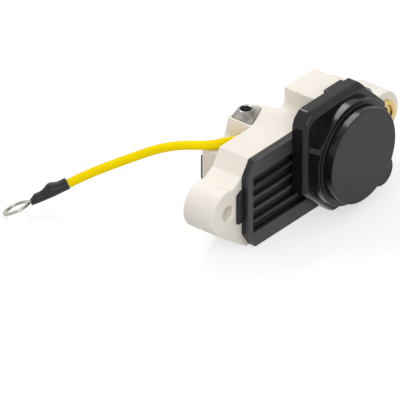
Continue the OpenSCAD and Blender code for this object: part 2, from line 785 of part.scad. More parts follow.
carrier();
heat_sink();
housing();
lid();
lid_seal();
ear_bush();
screw_terminal();
housing_screws();
thermal_pad();
base_plate();
circuit_plate();
control_chip();
power_chip();
flyback_diode();
capacitors();
contact_pins();
bond_wires();
brush_strip_left();
brush_strip_right();
terminal_strip();
lead_strip();
lead_core();
brush_left();
brush_right();
spring_left();
spring_right();
pigtail_left();
pigtail_right();
lead();
lead_sleeve();
crimped_core();
ring_terminal();
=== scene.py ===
"""Voltage regulator with brush holder: the looks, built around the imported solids."""

import math

import bmesh
import bpy
from mathutils import Matrix, Vector, noise


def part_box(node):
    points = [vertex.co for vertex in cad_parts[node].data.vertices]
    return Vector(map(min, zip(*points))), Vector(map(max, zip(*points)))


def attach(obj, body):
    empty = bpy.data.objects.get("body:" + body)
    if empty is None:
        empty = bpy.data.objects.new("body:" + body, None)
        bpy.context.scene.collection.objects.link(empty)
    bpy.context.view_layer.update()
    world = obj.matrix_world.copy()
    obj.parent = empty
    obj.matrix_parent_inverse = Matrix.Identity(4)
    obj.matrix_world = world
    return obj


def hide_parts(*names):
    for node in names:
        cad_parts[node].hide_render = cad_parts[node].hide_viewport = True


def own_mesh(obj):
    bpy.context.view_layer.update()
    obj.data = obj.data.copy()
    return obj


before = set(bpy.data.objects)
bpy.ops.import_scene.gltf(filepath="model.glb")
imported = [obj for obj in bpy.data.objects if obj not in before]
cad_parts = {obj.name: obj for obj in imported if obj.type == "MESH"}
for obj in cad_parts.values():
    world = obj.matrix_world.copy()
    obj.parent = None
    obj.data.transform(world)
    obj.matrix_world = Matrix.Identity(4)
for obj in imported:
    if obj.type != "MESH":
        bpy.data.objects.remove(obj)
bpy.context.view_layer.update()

bl_info = {
    "name": "Voltage Regulator",
    "version": (1, 0, 0),
    "blender": (4, 5, 0),
    "location": "View3D > Sidebar > Regulator",
    "description": "Builds a generator voltage regulator with its brush holder and lead",
    "category": "Add Mesh",
}

# Y of the mounting face; depths are counted forwards from it
MOUNT_Y = 0.0043

# Depths of the layers, from the carrier's front to the lid
CARRIER_FRONT = 0.0131
BLOCK_FRONT = 0.0148
SINK_FRONT = 0.0163
FLANGE_FRONT = 0.0225
STEP_FRONT = 0.0262
COLLAR_FRONT = 0.0266
LID_BACK = 0.0270
LID_FRONT = 0.0303
POCKET_DEPTH = 0.0019

# The housing's middle, half its width, and its radii from the cavity out to the lower step
HOUSING_X, HOUSING_Z = (
    (low + high) / 2 for low, high in zip(*(corner.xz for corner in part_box("lid")))
)
HALF_WIDTH = 0.0226
CAVITY_R = 0.0148
GROOVE_IN, GROOVE_OUT, GROOVE_DEPTH = 0.0154, 0.0166, 0.0009
LID_NECK_R = 0.0172
COLLAR_IN, COLLAR_OUT = 0.0175, 0.0187
LID_R = 0.0179
STEP_R = 0.0200
FINE_EDGE = 0.00012

SCREW_CIRCLE_R = 0.0172
SCREW_R = 0.0011
SCREW_END = 0.0209
SCREW_PLACES = [
    (HOUSING_X + SCREW_CIRCLE_R * math.cos(turn), HOUSING_Z + SCREW_CIRCLE_R * math.sin(turn))
    for turn in (math.radians(75), math.radians(-160), math.radians(-55))
]

EAR_X = 0.0433
EAR_Z = 0.018
BUSH_HOLE_R = 0.00275

TERMINAL_X = -0.0099
TERMINAL_Y = 0.0102
TERMINAL_HOLE_R = 0.0021

BRUSH_Z = 0.01095
BRUSHES = {"left": -0.013, "right": 0.002}
BRUSH_ROOT = -0.0057
BRAID_ROOT = BRUSH_ROOT - 0.0039
CHAMBER_FRONT = 0.0105
STRIP_BACK = 0.0119

# The lead's route, from the hole in the tower's wall to the sleeve
LEAD_ROUTE = [
    (-0.0136, 0.0080, 0.0291), (-0.0156, 0.0080, 0.0291), (-0.0182, 0.0091, 0.0291),
    (-0.0213, 0.0111, 0.0291), (-0.0243, 0.0128, 0.0291), (-0.0270, 0.0151, 0.0291),
    (-0.0294, 0.0182, 0.0291), (-0.0317, 0.0220, 0.0286), (-0.0338, 0.0259, 0.0275),
    (-0.0360, 0.0303, 0.0256), (-0.0384, 0.0347, 0.0232), (-0.0412, 0.0394, 0.0205),
    (-0.0439, 0.0437, 0.0180), (-0.0469, 0.0480, 0.0154), (-0.0500, 0.0521, 0.0127),
    (-0.0528, 0.0554, 0.0103),
]
RING_AT = Vector((-0.0674, 0.0667, 0.0030))
END_DIR = (RING_AT - Vector(LEAD_ROUTE[-1])).normalized()
BARREL_START = 0.0075
BARREL_END = 0.0135
SLEEVE_START = 0.0053
SLEEVE_END = 0.0199
LEAD_LINE = LEAD_ROUTE + [
    tuple(RING_AT - END_DIR * (BARREL_END + 0.0033)), tuple(RING_AT - END_DIR * BARREL_END)
]


# ---------------------------------------------------------------- settings


def number(label, says, default, **more):
    return bpy.props.FloatProperty(name=label, description=says, default=default, **more)


def length(label, says, default):
    return number(label, says, default, min=0.0, unit="LENGTH", precision=5)


def colour(label, says, default):
    return bpy.props.FloatVectorProperty(
        name=label, description=says, default=default, size=3, min=0.0, max=1.0,
        subtype="COLOR",
    )


class RegulatorCarrierSettings(bpy.types.PropertyGroup):
    """Colours of the moulded carrier"""

    body: colour("Body", "Colour of the carrier's plastic", (0.90, 0.85, 0.77))
    shade: colour("Shade", "Colour of the carrier's darker patches", (0.85, 0.795, 0.71))


class RegulatorSinkSettings(bpy.types.PropertyGroup):
    """Sizes and colours of the heat sink"""

    edge: length("Edge", "Bevel of the heat sink's edges", 0.00025)
    body: colour("Body", "Colour of the heat sink", (0.040, 0.041, 0.046))
    # Pocket: painted shade, the dark colour the pocket's floor takes in place of the shade that
    # falls there
    pocket: colour("Pocket", "Colour in the depth of the pocket", (0.006, 0.006, 0.008))


class RegulatorHousingSettings(bpy.types.PropertyGroup):
    """Sizes and colours of the housing and its lid"""

    corner: length("Corner", "Radius of the flange's corners", 0.0014)
    edge: length("Edge", "Radius of the flange's front edge", 0.0028)
    rim: length("Rim", "Radius of the round steps' edges", 0.00028)
    body: colour("Body", "Colour of the housing's plastic", (0.009, 0.009, 0.0094))
    lid: colour("Lid", "Colour of the lid's plastic", (0.006, 0.006, 0.0066))


class RegulatorLeadSettings(bpy.types.PropertyGroup):
    """Sizes and colours of the lead, its sleeve and its ring"""

    width: length("Lead width", "Diameter of the lead", 0.0033)
    lead: colour("Lead", "Colour of the lead's insulation", (1.0, 0.76, 0.0))
    sleeve: colour("Sleeve", "Colour of the heat-shrink sleeve", (0.009, 0.0086, 0.009))
    ring_out: length("Ring", "Outer diameter of the ring", 0.0105)
    ring_hole: length("Ring hole", "Diameter of the hole in the ring", 0.0075)
    ring_thick: length("Ring thickness", "Thickness of the ring", 0.0008)


class RegulatorStageSettings(bpy.types.PropertyGroup):
    """Camera, light and floor"""

    azimuth: number(
        "Azimuth", "Direction that the camera looks from", math.radians(-51), subtype="ANGLE"
    )
    elevation: number(
        "Elevation", "Height of the camera above the horizon", math.radians(31),
        subtype="ANGLE",
    )
    width: length("View width", "Width of the view at the object", 0.140)
    key: number(
        "Key light", "Power of the softbox above and behind", 2.3, min=0.0, unit="POWER"
    )
    fill: number(
        "Fill light", "Power of the softbox beside the camera", 4.5, min=0.0, unit="POWER"
    )
    sky: number(
        "Surround", "Brightness of the surround on the object", 0.68, min=0.0, max=1.0,
        subtype="FACTOR",
    )
    floor: colour("Floor", "Colour of the floor", (0.50, 0.50, 0.50))


# ---------------------------------------------------------------- materials

GRAIN = "Clouded grain"
METAL = "Spotted metal"

# The wide noise's detail and roughness, the range over which it brings in the second colour,
# and the scales of the wide and the fine noise where a finish gives none
NOISES = {
    GRAIN: (4, 0.5, 0.35, 0.7, 120.0, 2500.0),
    METAL: (5, 0.6, 0.45, 0.75, 350.0, 1500.0),
}

# Finishes with fixed colours: group, bump, both colours, lowest and highest roughness
FINISHES = {
    "seal_rubber": (GRAIN, 0.5, (0.03, 0.03, 0.03), (0.02, 0.02, 0.02), 0.6, 0.8),
    "pad_rubber": (GRAIN, 0.5, (0.42, 0.44, 0.46), (0.36, 0.37, 0.39), 0.6, 0.8),
    "ceramic": (GRAIN, 0.3, (0.80, 0.79, 0.75), (0.72, 0.71, 0.67), 0.35, 0.5),
    "chip_epoxy": (GRAIN, 0.6, (0.02, 0.02, 0.021), (0.03, 0.03, 0.03), 0.5, 0.7),
    "capacitor_ceramic": (GRAIN, 0.3, (0.48, 0.34, 0.20), (0.40, 0.28, 0.16), 0.3, 0.5),
    "carbon": (GRAIN, 0.8, (0.030, 0.030, 0.032), (0.050, 0.050, 0.053), 0.35, 0.6),
    "bush_brass": (METAL, 0.2, (0.68, 0.50, 0.20), (0.50, 0.35, 0.12), 0.22, 0.42),
    # Tinned metal's dark spots are partly tarnish and partly painted reflection of dark
    # surroundings
    "tinned_metal": (METAL, 0.3, (0.40, 0.39, 0.36), (0.09, 0.083, 0.072), 0.12, 0.24),
    # The thread's near-black colour is painted shade that stands in for the shade inside the
    # terminal's hole
    "thread_painted_shade": (METAL, 0.3, (0.045, 0.044, 0.042), (0.02, 0.02, 0.019), 0.35, 0.55),
    "screw_steel": (METAL, 0.3, (0.74, 0.74, 0.76), (0.58, 0.58, 0.60), 0.2, 0.38),
    "plate_aluminium": (METAL, 0.4, (0.84, 0.85, 0.86), (0.72, 0.73, 0.74), 0.3, 0.5),
    "strip_brass": (METAL, 0.3, (0.82, 0.62, 0.28), (0.66, 0.48, 0.20), 0.25, 0.45),
    "wire_aluminium": (METAL, 0.2, (0.86, 0.86, 0.87), (0.76, 0.76, 0.77), 0.25, 0.4),
    "copper": (METAL, 0.5, (0.84, 0.42, 0.26), (0.60, 0.28, 0.17), 0.28, 0.5),
    "spring_steel": (METAL, 0.2, (0.66, 0.66, 0.68), (0.50, 0.50, 0.52), 0.22, 0.4),
}


def set_inputs(node, values):
    for label, value in values.items():
        node.inputs[label.replace("_", " ")].default_value = value
    return node


def add_node(tree, kind, column, row, **values):
    node = tree.nodes.new(kind)
    node.location = (column * 220, -row * 220)
    return set_inputs(node, values)


def new_group(name, inputs, outputs):
    """A node group, with the sockets that its inputs and outputs show inside it."""
    tree = bpy.data.node_groups.new(name, "ShaderNodeTree")
    for label, kind, value in inputs:
        socket = tree.interface.new_socket(
            label, in_out="INPUT", socket_type="NodeSocket" + kind
        )
        if value is not None:
            socket.default_value = value
    for label, kind in outputs:
        tree.interface.new_socket(label, in_out="OUTPUT", socket_type="NodeSocket" + kind)
    start = add_node(tree, "NodeGroupInput", -4, 0)
    end = add_node(tree, "NodeGroupOutput", 5, 0)
    return tree, start.outputs, end.inputs


def grey_range(tree, row, low, high, source):
    node = add_node(tree, "ShaderNodeMapRange", -1, row, From_Min=low, From_Max=high)
    tree.links.new(source, node.inputs["Value"])
    return node


def colour_mix(tree, column, factor, first, second):
    """Mixes the socket first with second, which is a socket or a plain colour."""
    node = add_node(tree, "ShaderNodeMix", column, 0)
    node.data_type = "RGBA"
    tree.links.new(factor, node.inputs["Factor"])
    tree.links.new(first, node.inputs[6])
    if isinstance(second, tuple):
        node.inputs[7].default_value = second
    else:
        tree.links.new(second, node.inputs[7])
    return node.outputs[2]


def noise_at(tree, row, vector, scale, detail, roughness):
    node = add_node(
        tree, "ShaderNodeTexNoise", -2, row, Detail=detail, Roughness=roughness
    )
    tree.links.new(vector, node.inputs["Vector"])
    tree.links.new(scale, node.inputs["Scale"])
    return node.outputs["Fac"]


def noise_group(name):
    """Two colours that a wide noise mixes, and a fine noise for roughness and height."""
    detail, roughness, low, high, wide_scale, fine_scale = NOISES[name]
    tree, given, made = new_group(
        name,
        [
            ("Vector", "Vector", None), ("Colour", "Color", None), ("Shade", "Color", None),
            ("Wide Scale", "Float", wide_scale), ("Fine Scale", "Float", fine_scale),
            ("Smooth", "Float", None), ("Rough", "Float", None),
        ],
        [("Colour", "Color"), ("Roughness", "Float"), ("Height", "Float")],
    )
    link = tree.links.new
    wide = noise_at(tree, 0, given["Vector"], given["Wide Scale"], detail, roughness)
    fine = noise_at(tree, 1, given["Vector"], given["Fine Scale"], 3, 0.5)
    patches = grey_range(tree, 0, low, high, wide).outputs["Result"]
    link(colour_mix(tree, 1, patches, given["Colour"], given["Shade"]), made["Colour"])
    speckle = grey_range(tree, 1, 0.3, 0.7, fine)
    link(given["Smooth"], speckle.inputs["To Min"])
    link(given["Rough"], speckle.inputs["To Max"])
    link(speckle.outputs["Result"], made["Roughness"])
    link(fine, made["Height"])
    return tree


def pocket_shade_mask_group():
    """A mask that rises from 0 to 1 between two values of Y; it places the painted shade on the
    floor of the heat sink's pocket.
    """
    tree, given, made = new_group(
        "Pocket shade mask",
        [("Vector", "Vector", None), ("Clear", "Float", None), ("Full", "Float", None)],
        [("Mask", "Float")],
    )
    link = tree.links.new
    parts = add_node(tree, "ShaderNodeSeparateXYZ", -2, 0)
    link(given["Vector"], parts.inputs["Vector"])
    rise = add_node(tree, "ShaderNodeMapRange", -1, 0)
    rise.interpolation_type = "SMOOTHSTEP"
    link(parts.outputs["Y"], rise.inputs["Value"])
    link(given["Clear"], rise.inputs["From Min"])
    link(given["Full"], rise.inputs["From Max"])
    link(rise.outputs["Result"], made["Mask"])
    return tree


def place_group(tree, name, row, where, **values):
    """Places a shared group, which is made at its first use, and feeds it the vector where."""
    node = add_node(tree, "ShaderNodeGroup", -3, row)
    node.node_tree = bpy.data.node_groups.get(name) or (
        noise_group(name) if name in NOISES else pocket_shade_mask_group()
    )
    tree.links.new(where, node.inputs["Vector"])
    return set_inputs(node, values)


def new_material(name, group, bump, gloss, metallic, deep=None, **values):
    """A Principled material whose colour, roughness and bump come from a shared group.

    Where deep is a colour, the material turns to it on the floor of the heat sink's pocket:
    painted shade, in place of the shade that falls in there.
    """
    made = bpy.data.materials.new(name)
    made.use_nodes = True
    tree = made.node_tree
    link = tree.links.new
    main = tree.nodes["Principled BSDF"]
    set_inputs(main, {"Specular IOR Level": gloss, "Metallic": metallic})
    where = add_node(tree, "ShaderNodeTexCoord", -5, 0).outputs["Object"]
    effect = place_group(tree, group, 0, where, **values).outputs
    tint = effect["Colour"]
    if deep:
        # Painted shade: the colour turns to deep towards the floor of the pocket
        floor_y = MOUNT_Y - SINK_FRONT + POCKET_DEPTH
        mask = place_group(
            tree, "Pocket shade mask", 3, where, Clear=floor_y - 0.0015, Full=floor_y - 0.0005
        )
        tint = colour_mix(tree, -1, mask.outputs["Mask"], tint, deep)
    relief = add_node(tree, "ShaderNodeBump", -1, 2, Strength=bump, Distance=0.00004)
    link(effect["Height"], relief.inputs["Height"])
    link(tint, main.inputs["Base Color"])
    link(effect["Roughness"], main.inputs["Roughness"])
    link(relief.outputs["Normal"], main.inputs["Normal"])
    return made


def rgba(three, scale=1.0):
    return (three[0] * scale, three[1] * scale, three[2] * scale, 1.0)


def finish_for(slot):
    """The material of a slot in the record, named as the slot in plain words.

    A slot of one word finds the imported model's own plain material of that name and keeps it.
    """
    name = slot.replace("_", " ")
    found = bpy.data.materials.get(name)
    if found:
        return found
    if slot in FINISHES:
        group, bump, first, second, smooth, rough = FINISHES[slot]
        # Wider spots on tinned metal: the dark ones are partly tarnish and partly painted
        # reflection of dark surroundings
        values = {"Wide_Scale": 170.0} if slot == "tinned_metal" else {}
        return new_material(
            name, group, bump, gloss=0.5, metallic=1.0 if group == METAL else 0.0,
            Colour=rgba(first), Shade=rgba(second), Smooth=smooth, Rough=rough, **values,
        )
    scene = bpy.context.scene
    carrier, sink = scene.regulator_carrier, scene.regulator_sink
    housing, lead = scene.regulator_housing, scene.regulator_lead
    # Bump, gloss, metallic, both colours, lowest and highest roughness, wide and fine scale
    bump, gloss, metallic, first, second, smooth, rough, wide, fine = {
        "cream_plastic": (
            0.18, 0.4, 0.0, rgba(carrier.body), rgba(carrier.shade), 0.38, 0.52, 70.0, 2200.0),
        "dark_aluminium": (
            0.55, 0.5, 0.15, rgba(sink.body), rgba(sink.body, 0.8), 0.42, 0.62, 160.0, 2600.0),
        "black_plastic": (
            0.22, 0.32, 0.0, rgba(housing.body), rgba(housing.body, 0.75), 0.15, 0.24, 110.0,
            3000.0),
        "lid_plastic": (
            0.22, 0.30, 0.0, rgba(housing.lid), rgba(housing.lid, 0.75), 0.17, 0.28, 110.0,
            3000.0),
        "yellow_insulation": (
            0.15, 0.05, 0.0, rgba(lead.lead), rgba(lead.lead, 0.94), 0.30, 0.42, 260.0, 1800.0),
        "shrink_sleeve": (
            0.6, 0.35, 0.0, rgba(lead.sleeve), rgba(lead.sleeve, 1.5), 0.34, 0.5, 420.0,
            1500.0),
    }[slot]
    return new_material(
        name, GRAIN, bump, gloss, metallic,
        # The pocket colour is painted shade on the floor of the heat sink's pocket
        deep=rgba(sink.pocket) if slot == "dark_aluminium" else None,
        Colour=first, Shade=second, Wide_Scale=wide, Fine_Scale=fine, Smooth=smooth, Rough=rough,
    )


# ---------------------------------------------------------------- shapes


def at_depth(x, depth, z):
    return Vector((x, MOUNT_Y - depth, z))


def linked(name, data):
    """A new object in the scene."""
    made = bpy.data.objects.new(name, data)
    bpy.context.scene.collection.objects.link(made)
    return made


def from_bmesh(bm, name):
    bmesh.ops.recalc_face_normals(bm, faces=bm.faces)
    mesh = bpy.data.meshes.new(name)
    bm.to_mesh(mesh)
    bm.free()
    return linked(name, mesh)


def outcome(obj):
    """A new mesh of what an object's modifiers or its curve's bevel make."""
    depsgraph = bpy.context.evaluated_depsgraph_get()
    return bpy.data.meshes.new_from_object(obj.evaluated_get(depsgraph))


def fixed(obj):
    """Replaces obj's mesh with the result of its modifiers."""
    done = outcome(obj)
    obj.modifiers.clear()
    obj.data = done


def mesh_of(curve):
    holder = linked(curve.name, curve)
    mesh = outcome(holder)
    bpy.data.objects.remove(holder)
    return mesh


def add_line(curve, places):
    """Adds a straight-sided line through the places to a curve."""
    line = curve.splines.new("POLY")
    line.points.add(len(places) - 1)
    for point, place in zip(line.points, places):
        point.co = (*place, 1)
    return line


def merged(pieces, name):
    """One object from several, whose place it takes."""
    bm = bmesh.new()
    for piece in pieces:
        bm.from_mesh(piece.data)
        bpy.data.objects.remove(piece)
    return from_bmesh(bm, name)


def dressed(obj, slot, body="holder", nodes=(), sharp=40.0, finish=None):
    """Gives a new piece its finish, its shading and its place in the model."""
    obj.data.materials.clear()
    obj.data.materials.append(finish_for(finish or slot))
    if obj.type == "MESH":
        obj.data.shade_smooth()
        obj.data.set_sharp_from_angle(angle=math.radians(sharp))
        weights = obj.modifiers.new("Even shading", "WEIGHTED_NORMAL")
        weights.keep_sharp = True
    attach(obj, body)
    if nodes:
        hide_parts(*nodes)
    return obj


def rounded(corners, steps=4):
    """A closed outline from corners (a, b, radius), each turned into an arc."""
    outline = []
    for i, (a, b, radius) in enumerate(corners):
        here = Vector((a, b))
        if radius <= 0:
            outline.append(here)
            continue
        before = (Vector(corners[i - 1][:2]) - here).normalized()
        after = (Vector(corners[(i + 1) % len(corners)][:2]) - here).normalized()
        half = before.angle(after) / 2
        centre = here + (before + after).normalized() * radius / math.sin(half)
        first = here + before * radius / math.tan(half) - centre
        turn = first.angle_signed(here + after * radius / math.tan(half) - centre)
        for k in range(steps + 1):
            outline.append(centre + Matrix.Rotation(-turn * k / steps, 2) @ first)
    return outline


def circle(radius, sides, a=0.0, b=0.0):
    """Points around (a, b)."""
    turns = (math.tau * k / sides for k in range(sides))
    return [(a + radius * math.cos(t), b + radius * math.sin(t)) for t in turns]


def ring_at(bm, outline, depth):
    """Vertices at one depth, from (x, z) points."""
    return [bm.verts.new(at_depth(x, depth, z)) for x, z in outline]


def join_rings(bm, rings, closed=False):
    """Faces from each ring of vertices to the next, then back to the first or over both ends."""
    following = rings[1:] + rings[:1] if closed else rings[1:]
    for one, two in zip(rings, following):
        for k in range(len(one)):
            corners = dict.fromkeys((one[k - 1], one[k], two[k], two[k - 1]))
            if len(corners) > 2:
                bm.faces.new(list(corners))
    if not closed:
        bm.faces.new(rings[0])
        bm.faces.new(rings[-1])


def lathed(profile, x, z, name, sides=96):
    """A solid turned about the line through (x, z) along Y, from (radius, depth) points."""
    bm = bmesh.new()
    rings = [
        ring_at(bm, circle(radius, sides, x, z), depth) if radius > 1e-7
        else ring_at(bm, [(x, z)], depth) * sides
        for radius, depth in profile
    ]
    join_rings(bm, rings, closed=True)
    return from_bmesh(bm, name)


def prism(outline, back, front, name, edge=0.0):
    """A solid between two depths with a round front edge, from (x, z) points."""
    bm = bmesh.new()
    ends = [ring_at(bm, outline, depth) for depth in (back, front)]
    join_rings(bm, ends)
    if edge:
        rim = set(ends[1])
        edges = [e for e in bm.edges if e.verts[0] in rim and e.verts[1] in rim]
        bmesh.ops.bevel(bm, geom=edges, offset=edge, segments=3, profile=0.5, affect="EDGES")
    return from_bmesh(bm, name)


def inset(corners, inward):
    """A convex outline moved in: each side, from the corner before, by its share of inward."""
    moved = []
    for i, (a, b, radius, share) in enumerate(corners):
        here, after = Vector((a, b)), corners[(i + 1) % len(corners)]
        first = here - Vector(corners[i - 1][:2])
        second = Vector(after[:2]) - here
        one = Vector((-first.y, first.x)).normalized()
        two = Vector((-second.y, second.x)).normalized()
        deep, wide = inward * share, inward * after[3]
        area = one.x * two.y - one.y * two.x
        step = Vector((deep * two.y - wide * one.y, wide * one.x - deep * two.x)) / area
        moved.append((*(here + step), max(0.0003, radius - min(deep, wide))))
    return moved


def cushion(corners, back, front, edge, name):
    """A solid between two depths with a quarter round at the front, from its corners.

    The corners (a, b, radius, share) run anticlockwise, and share is how much of the edge's
    radius the side that leads to the corner takes.
    """
    steps = 7
    levels = [(0.0, back)]
    for k in range(steps + 1):
        turn = math.pi / 2 * k / steps
        levels.append((edge * (1 - math.cos(turn)), front - edge * (1 - math.sin(turn))))
    bm = bmesh.new()
    join_rings(bm, [
        ring_at(bm, rounded(inset(corners, inward), steps=5), depth)
        for inward, depth in levels
    ])
    return from_bmesh(bm, name)


def combined(base, others, operation="UNION"):
    """Adds other objects to base or cuts them from it, and removes them."""
    for other in others:
        step = base.modifiers.new(other.name, "BOOLEAN")
        step.operation = operation
        step.solver = "EXACT"
        step.object = other
    fixed(base)
    for other in others:
        bpy.data.objects.remove(other)


def solid_of(node):
    """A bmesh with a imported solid's shape, its flat faces made whole again."""
    bm = bmesh.new()
    bm.from_mesh(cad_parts[node].data)
    bmesh.ops.remove_doubles(bm, verts=bm.verts, dist=1e-6)
    bmesh.ops.dissolve_limit(
        bm, angle_limit=math.radians(0.4), verts=bm.verts, edges=bm.edges
    )
    return bm


def eased(bm, name, width, keep=None, angle=28.0):
    """An object with bevels on the convex edges whose middle keep allows."""
    edges = [
        e for e in bm.edges
        if e.is_manifold and e.is_convex and e.calc_face_angle() > math.radians(angle)
        and (keep is None or keep((e.verts[0].co + e.verts[1].co) / 2))
    ]
    bmesh.ops.bevel(
        bm, geom=edges, offset=width, segments=2, profile=0.5, affect="EDGES",
        clamp_overlap=False,
    )
    return from_bmesh(bm, name)


# ---------------------------------------------------------------- operators


class RegulatorStage(bpy.types.Operator):
    """Makes the camera, the pale floor, the surround and two softboxes"""

    bl_idname = "regulator.stage"
    bl_label = "Stage"

    # What the camera looks at, to the right of the origin and above it in the view
    AIM_RIGHT, AIM_UP = -0.03016, -0.00002
    WHITE = (1, 1, 1, 1)
    # The floor's own brightness, which the camera and reflections see and the object doesn't
    FLOOR_LIFT = 0.60

    def execute(self, context):
        stage = context.scene.regulator_stage
        a, e = stage.azimuth, stage.elevation
        back = Vector((math.sin(a) * math.cos(e), -math.cos(a) * math.cos(e), math.sin(e)))
        right = Vector((math.cos(a), math.sin(a), 0.0))
        up = back.cross(right)
        camera = linked("camera", bpy.data.cameras.new("camera"))
        # A long lens from far away, because the view is nearly a parallel one
        camera.data.lens = 1250.0
        distance = stage.width * camera.data.lens / camera.data.sensor_width
        camera.location = right * self.AIM_RIGHT + up * self.AIM_UP + back * distance
        camera.rotation_euler = back.to_track_quat("Z", "Y").to_euler()
        camera.data.clip_start, camera.data.clip_end = 0.1, 40.0
        context.scene.camera = camera
        self.make_floor(stage)
        context.scene.world = self.make_surround(stage)
        # The key softbox is a long strip, so that it shows on the round walls as a short patch
        self.make_softbox(
            "key_softbox", (0.25, 0.54, 0.80), distance=0.9, sides=(0.58, 0.13),
            power=stage.key, along=(-0.95, 0.0, 0.30),
        )
        self.make_softbox(
            "fill_softbox", (-0.55, -0.75, 0.55), distance=1.2, sides=(0.9, 0.9),
            power=stage.fill, along=(0.8, -0.6, 0.0),
        )
        context.scene.view_settings.view_transform = "Standard"
        return {"FINISHED"}

    def make_floor(self, stage):
        bm = bmesh.new()
        bmesh.ops.create_circle(bm, cap_ends=True, segments=64, radius=4.0)
        floor = from_bmesh(bm, "floor")
        if floor.data.polygons[0].normal.z < 0:
            floor.data.flip_normals()
        made = bpy.data.materials.new("pale floor")
        made.use_nodes = True
        tree = made.node_tree
        link = tree.links.new
        main = tree.nodes["Principled BSDF"]
        set_inputs(main, {
            "Roughness": 0.9, "Specular IOR Level": 0.0, "Emission Color": self.WHITE
        })
        where = add_node(tree, "ShaderNodeTexCoord", -5, 0).outputs["Object"]
        mottle = place_group(
            tree, GRAIN, 0, where, Colour=rgba(stage.floor), Shade=rgba(stage.floor, 0.995),
            Wide_Scale=6.0, Fine_Scale=300.0,
        )
        link(mottle.outputs["Colour"], main.inputs["Base Color"])
        rays = add_node(tree, "ShaderNodeLightPath", -5, 3)
        seen = add_node(tree, "ShaderNodeMath", -3, 3)
        seen.operation = "MAXIMUM"
        link(rays.outputs["Is Camera Ray"], seen.inputs[0])
        link(rays.outputs["Is Glossy Ray"], seen.inputs[1])
        lift = add_node(tree, "ShaderNodeMath", -2, 3)
        lift.operation = "MULTIPLY"
        lift.inputs[1].default_value = self.FLOOR_LIFT
        link(seen.outputs["Value"], lift.inputs[0])
        link(lift.outputs["Value"], main.inputs["Emission Strength"])
        facing = add_node(tree, "ShaderNodeNewGeometry", -1, 3)
        clear = add_node(tree, "ShaderNodeBsdfTransparent", 0, 3)
        sides = add_node(tree, "ShaderNodeMixShader", 2, 1)
        link(facing.outputs["Backfacing"], sides.inputs[0])
        link(main.outputs["BSDF"], sides.inputs[1])
        link(clear.outputs["BSDF"], sides.inputs[2])
        link(sides.outputs["Shader"], tree.nodes["Material Output"].inputs["Surface"])
        floor.data.materials.append(made)

    def make_surround(self, stage):
        """A dimmer light on the object than the white that the camera and reflections see."""
        world = bpy.data.worlds.new("surround")
        world.use_nodes = True
        tree = world.node_tree
        link = tree.links.new
        light = set_inputs(
            tree.nodes["Background"], {"Color": self.WHITE, "Strength": stage.sky}
        )
        pale = add_node(tree, "ShaderNodeBackground", 0, 2, Color=self.WHITE, Strength=1.0)
        rays = add_node(tree, "ShaderNodeLightPath", -4, 0)
        seen = rays.outputs["Is Camera Ray"]
        for row, label in enumerate(("Is Glossy Ray", "Is Transmission Ray")):
            either = add_node(tree, "ShaderNodeMath", -3 + row, row)
            either.operation = "MAXIMUM"
            link(seen, either.inputs[0])
            link(rays.outputs[label], either.inputs[1])
            seen = either.outputs["Value"]
        sides = add_node(tree, "ShaderNodeMixShader", 2, 0)
        link(seen, sides.inputs[0])
        link(light.outputs["Background"], sides.inputs[1])
        link(pale.outputs["Background"], sides.inputs[2])
        link(sides.outputs["Shader"], tree.nodes["World Output"].inputs["Surface"])
        return world

    def make_softbox(self, name, towards, distance, sides, power, along):
        """A lamp that shines at the object from a direction, its first side along a line."""
        light = bpy.data.lights.new(name, "AREA")
        light.shape = "RECTANGLE"
        light.size, light.size_y = sides
        light.energy = power
        box = linked(name, light)
        direction = Vector(towards).normalized()
        across = direction.cross(Vector(along)).normalized()
        turn = Matrix((across.cross(direction), across, direction)).transposed()
        box.location = Vector((0.0, 0.0, 0.02)) + direction * distance
        box.rotation_euler = turn.to_euler()


